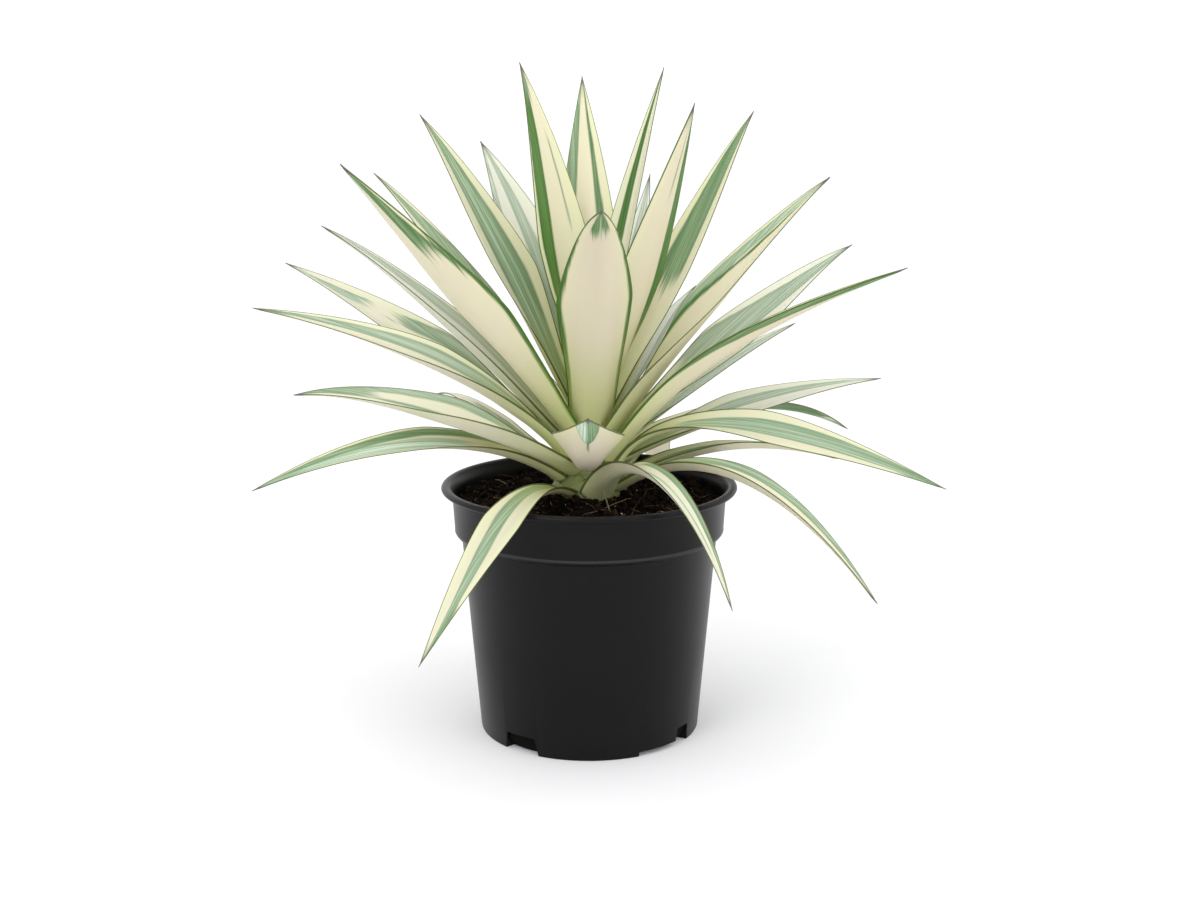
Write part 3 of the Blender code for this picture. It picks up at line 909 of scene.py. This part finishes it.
def ground(x, y):
    """Height of the soil's surface, in millimetres."""
    radius = np.hypot(x, y)
    wavy = 0.9 * np.sin(x * 0.13 + 1.1) * np.sin(y * 0.11 + 0.4)
    wavy += 0.6 * np.sin(x * 0.37 + 2.0 + y * 0.21) + 0.5 * np.sin(y * 0.43 - x * 0.17)
    height = SOIL_TOP - SOIL_DIP + wavy * SOIL_WAVES
    for rise, begins, width in SOIL_SLOPES:
        height = height + rise * smooth((begins - radius) / width)
    return height


def soil_finish(name, dark, warm, rough=0.95):
    """Crumbly finish between a dark and a warm colour, by the tint that each piece carries."""
    soil = Finish(name, Specular_IOR_Level=0.08)
    place = soil.place()
    tint, shade, _ = soil.painted("tint")
    crumb = soil.noise(place, 700.0, 3.0, 0.6)
    patch = soil.noise(place, 90.0, 2.0, 0.5)
    colour = soil.mix((tint * 0.7 + patch * 0.5).ease(0.45, 0.95), dark, warm)
    colour = soil.mix(crumb.ease(0.3, 0.7) * 0.5, colour, paint(10, 7, 5))
    return soil.cover(
        Base_Color=colour,
        Roughness=rough - shade * 0.15,
        Normal=soil.relief(crumb, 0.0006, 0.8),
    )


def add_soil_bed():
    """The mix that fills the pot, uneven on top, with the stem's hole."""
    radii = np.linspace(SOIL_EDGE, HOLE_RADIUS + 1.5, SOIL_RINGS)
    radii = np.concatenate([radii, [HOLE_RADIUS]])
    segments = SOIL_SEGMENTS
    wall = [(radius - GAP, height + GAP) for radius, height in inner_wall()[1:-2]]
    profile = [(0.0, FLOOR + GAP), (inner_wall()[0][0] - GAP, FLOOR + GAP)] + wall
    start = len(profile)
    profile += [(radius, SOIL_TOP - 0.5) for radius in radii]
    profile += [(HOLE_RADIUS, HOLE_FLOOR), (0.0, HOLE_FLOOR)]
    points, faces = turned(profile, segments)
    points = np.array(points)
    first, last = 1 + (start - 1) * segments, 1 + (start - 1 + len(radii)) * segments
    top = points[first:last]
    top[:, 2] = ground(top[:, 0], top[:, 1])
    rng = np.random.default_rng(SOIL_SEED)
    lumps = rng.normal(0, SOIL_GRAIN, len(top))
    inside = np.hypot(top[:, 0], top[:, 1]) < SOIL_EDGE - 1
    top[:, 2] += lumps * inside
    mix = soil_finish("soil", paint(11, 8, 6), paint(24, 16, 11))
    bed = add("soil_bed", points, faces, mix, "soil")
    carry(bed, "tint", np.full((len(points), 3), 0.3))
    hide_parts("soil")


def lump_shape():
    """Points and faces of a lump of radius 1 with twelve corners and twenty sides."""
    golden = (1 + 5 ** 0.5) / 2
    corners = []
    for a in (-1, 1):
        for b in (-golden, golden):
            corners += [(0, a, b), (a, b, 0), (b, 0, a)]
    corners = np.array(corners, float) / math.hypot(1, golden)
    faces = []
    for i, j, k in combinations(range(len(corners)), 3):
        a, b, c = corners[[i, j, k]]
        if max(np.linalg.norm(side) for side in (b - a, c - b, a - c)) < LUMP_EDGE:
            outward = np.dot(np.cross(b - a, c - a), a) > 0
            faces.append((i, j, k) if outward else (i, k, j))
    return corners, np.array(faces)


def turn_matrix(rng):
    """A random turn in space."""
    q = rng.normal(size=4)
    w, x, y, z = q / np.linalg.norm(q)
    return np.array([
        (1 - 2 * (y * y + z * z), 2 * (x * y - z * w), 2 * (x * z + y * w)),
        (2 * (x * y + z * w), 1 - 2 * (x * x + z * z), 2 * (y * z - x * w)),
        (2 * (x * z - y * w), 2 * (y * z + x * w), 1 - 2 * (x * x + y * y)),
    ])


def scatter(rng, count, inner, outer):
    """Places on the soil's surface, evenly by area."""
    radius = np.sqrt(rng.uniform(inner ** 2, outer ** 2, count))
    angle = rng.uniform(0, 2 * np.pi, count)
    x, y = radius * np.cos(angle), radius * np.sin(angle)
    return np.stack([x, y, ground(x, y)], axis=1)


def add_lumps(name, count, finish, seed, size, flat, lift):
    """Loose pieces on the soil: least and greatest radius, how flat, and how high they lie."""
    rng = np.random.default_rng(seed)
    corners, faces = lump_shape()
    points, triangles, tints = [], [], []
    many = len(corners)
    for place in scatter(rng, count, HOLE_RADIUS + 1, SOIL_EDGE - size[1] * 0.7):
        radius = size[0] + (size[1] - size[0]) * rng.uniform() ** 2.2
        shape = corners * (1 + rng.normal(0, LUMP_UNEVENNESS, (many, 1)))
        squash = np.array((1.0, rng.uniform(0.5, 0.9), flat * rng.uniform(0.6, 1.2)))
        shape = shape * radius * squash @ turn_matrix(rng).T
        raised = np.array((0, 0, lift * radius * rng.uniform(-0.3, 1.0)))
        triangles.append(faces + many * len(points))
        points.append(shape + place + raised)
        tints.append(np.tile((rng.uniform(), rng.uniform(), rng.uniform()), (many, 1)))
    piece = add(name, np.concatenate(points), np.concatenate(triangles), finish, "soil")
    piece.data.shade_flat()
    carry(piece, "tint", np.concatenate(tints))


def thread(line, radius):
    """A tapering thread with closed ends along a line of points."""
    line = np.array(line, float)
    sides, last = THREAD_SIDES, len(line) - 1
    along = unit(np.gradient(line, axis=0))
    side = unit(np.cross(along, (0.13, 0.21, 0.97)))
    over = np.cross(along, side)
    points, faces = [], []
    for i in range(last + 1):
        thin = radius * (1 - THREAD_TAPER * (i / last) ** 2)
        for j in range(sides):
            a = 2 * np.pi * j / sides
            points.append(line[i] + side[i] * math.cos(a) * thin + over[i] * math.sin(a) * thin)
    for i in range(last):
        for j in range(sides):
            k = (j + 1) % sides
            low, high = i * sides, (i + 1) * sides
            faces.append((low + j, low + k, high + k, high + j))
    faces.append(tuple(range(sides))[::-1])
    faces.append(tuple(last * sides + j for j in range(sides)))
    return points, faces


def fibre(rng, place, length, radius, rise):
    """A thread that bends at random from its place."""
    heading = rng.uniform(0, 2 * np.pi)
    turn = rng.normal(0, 0.5)
    climb = rng.normal(rise, 0.25)
    line = [np.array(place, float)]
    for _ in range(FIBRE_STEPS):
        heading += turn / FIBRE_STEPS * 2 + rng.normal(0, 0.12)
        climb += rng.normal(-0.05, 0.12)
        level = math.cos(climb)
        step = (math.cos(heading) * level, math.sin(heading) * level, math.sin(climb))
        line.append(line[-1] + np.array(step) * length / FIBRE_STEPS)
    return thread(line, radius)


def add_fibres(name, count, finish, seed, length, radius, rise):
    """Loose threads on the soil: least and greatest length and radius, and how steep they lie."""
    rng = np.random.default_rng(seed)
    points, faces, tints = [], [], []
    for place in scatter(rng, count, HOLE_RADIUS + 4, SOIL_EDGE - 9):
        for _ in range(FIBRE_TRIES):
            start = place + np.array((0, 0, 0.6))
            line, sides = fibre(rng, start, rng.uniform(*length), rng.uniform(*radius), rise)
            reaches = [math.hypot(x, y) for x, y, _ in line]
            if HOLE_RADIUS < min(reaches) and max(reaches) < SOIL_EDGE - 2:
                break
        faces += [tuple(i + len(points) for i in face) for face in sides]
        tints += [(rng.uniform(), 0.5, 0.5)] * len(line)
        points += line
    piece = add(name, points, faces, finish, "soil")
    carry(piece, "tint", tints)


def add_soil():
    """The soil and what lies loose on it."""
    add_soil_bed()
    crumbs = soil_finish("soil_crumbs", paint(12, 9, 6), paint(36, 24, 17))
    bark = soil_finish("bark_chips", paint(20, 13, 9), paint(60, 38, 27), 0.8)
    # Perlite grit, whose bright specks also stand in for glints on the soil as painted highlights
    white = soil_finish("white_grit_and_glints", paint(150, 146, 138), paint(222, 219, 210), 0.7)
    straw = soil_finish("dry_fibre", paint(92, 74, 50), paint(168, 148, 112), 0.7)
    dry = soil_finish("dry_splinter", paint(120, 122, 84), paint(176, 176, 132), 0.6)
    add_lumps("soil_crumbs", 4600, crumbs, seed=11, size=(0.5, 2.6), flat=0.8, lift=0.7)
    add_lumps("bark_chips", 420, bark, seed=12, size=(1.4, 5.0), flat=0.35, lift=0.5)
    add_lumps("white_grit_and_glints", 170, white, seed=13, size=(0.3, 0.9), flat=0.8, lift=1.0)
    add_fibres("dry_fibres", 190, straw, seed=14, length=(6, 20), radius=(0.12, 0.3), rise=0.15)
    splinter = add("fallen_splinter", *thread(SPLINTER, SPLINTER_RADIUS), dry, "soil")
    carry(splinter, "tint", np.full((len(splinter.data.vertices), 3), 0.6))


def stem_finish():
    """Olive stem with faint rings where leaves have been."""
    tissue = Finish("stem_tissue", Specular_IOR_Level=0.4)
    place = tissue.place()
    scars = tissue.node("TexWave", {"bands_direction": "Z"}, Vector=place, Scale=60.0,
                        Distortion=2.5, Detail=2.0, output=1)
    patch = tissue.noise(place, 120.0, 3.0, 0.6)
    colour = tissue.mix(patch, paint(118, 128, 66), paint(164, 168, 108))
    colour = tissue.mix(scars * 0.4, colour, paint(92, 84, 48))
    return tissue.cover(
        Base_Color=colour,
        Roughness=0.5 + patch * 0.2,
        Normal=tissue.relief(scars, 0.0006, 0.6),
    )


# Stage


def add_floor():
    """A pale round floor for the pot to stand on."""
    mesh = bpy.data.meshes.new("studio_floor")
    profile = [(radius, 0) for radius in STUDIO_RINGS]
    profile += [(STUDIO_RINGS[-1], -STUDIO_DEPTH), (0.0, -STUDIO_DEPTH)]
    points, faces = turned(profile, STUDIO_SEGMENTS)
    mesh.from_pydata((np.array(points) * MM).tolist(), [], faces)
    pale = Finish("studio_floor", Specular_IOR_Level=0.0, Emission_Color=(1, 1, 1, 1),
                  Emission_Strength=0.04)
    place = pale.place()
    cloud = pale.noise(place, 3.0, 2.0, 0.5)
    mesh.materials.append(pale.cover(
        Base_Color=pale.mix(cloud, paint(236, 236, 238), paint(238, 238, 240)),
        Roughness=0.6 + cloud * 0.1,
    ))
    floor = bpy.data.objects.new("studio_floor", mesh)
    bpy.context.scene.collection.objects.link(floor)


def add_light(name, place, size, power):
    """A round soft light that looks at the plant."""
    lamp = bpy.data.lights.new(name, "AREA")
    lamp.shape, lamp.size, lamp.energy = "DISK", size, power
    piece = bpy.data.objects.new(name, lamp)
    bpy.context.scene.collection.objects.link(piece)
    piece.location = place
    aim = np.array(LIGHTS_AIM) - np.array(place)
    flat = math.hypot(aim[0], aim[1])
    piece.rotation_euler = (math.atan2(flat, -aim[2]), 0, math.atan2(-aim[0], aim[1]))


def add_studio():
    """White surroundings, the lights and the camera."""
    scene = bpy.context.scene
    world = bpy.data.worlds.new("studio")
    world.use_nodes = True
    backdrop = world.node_tree.nodes["Background"]
    backdrop.inputs["Color"].default_value = (1, 1, 1, 1)
    backdrop.inputs["Strength"].default_value = BACKDROP_STRENGTH
    scene.world = world
    for light in LIGHTS:
        add_light(*light)
    scene.view_settings.view_transform = "Standard"
    lens = bpy.data.cameras.new("camera")
    lens.lens, lens.sensor_width = LENS, SENSOR
    camera = bpy.data.objects.new("camera", lens)
    scene.collection.objects.link(camera)
    camera.location = CAMERA_PLACE
    camera.rotation_euler = (math.radians(90 - CAMERA_DIP), 0, 0)
    scene.camera = camera


add_studio()
add_floor()
for number, row in enumerate(LEAVES, 1):
    add_leaf(number, row)
add_sheaths()
add_pot()
add_soil()
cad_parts["stem"].data.materials.clear()
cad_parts["stem"].data.materials.append(stem_finish())
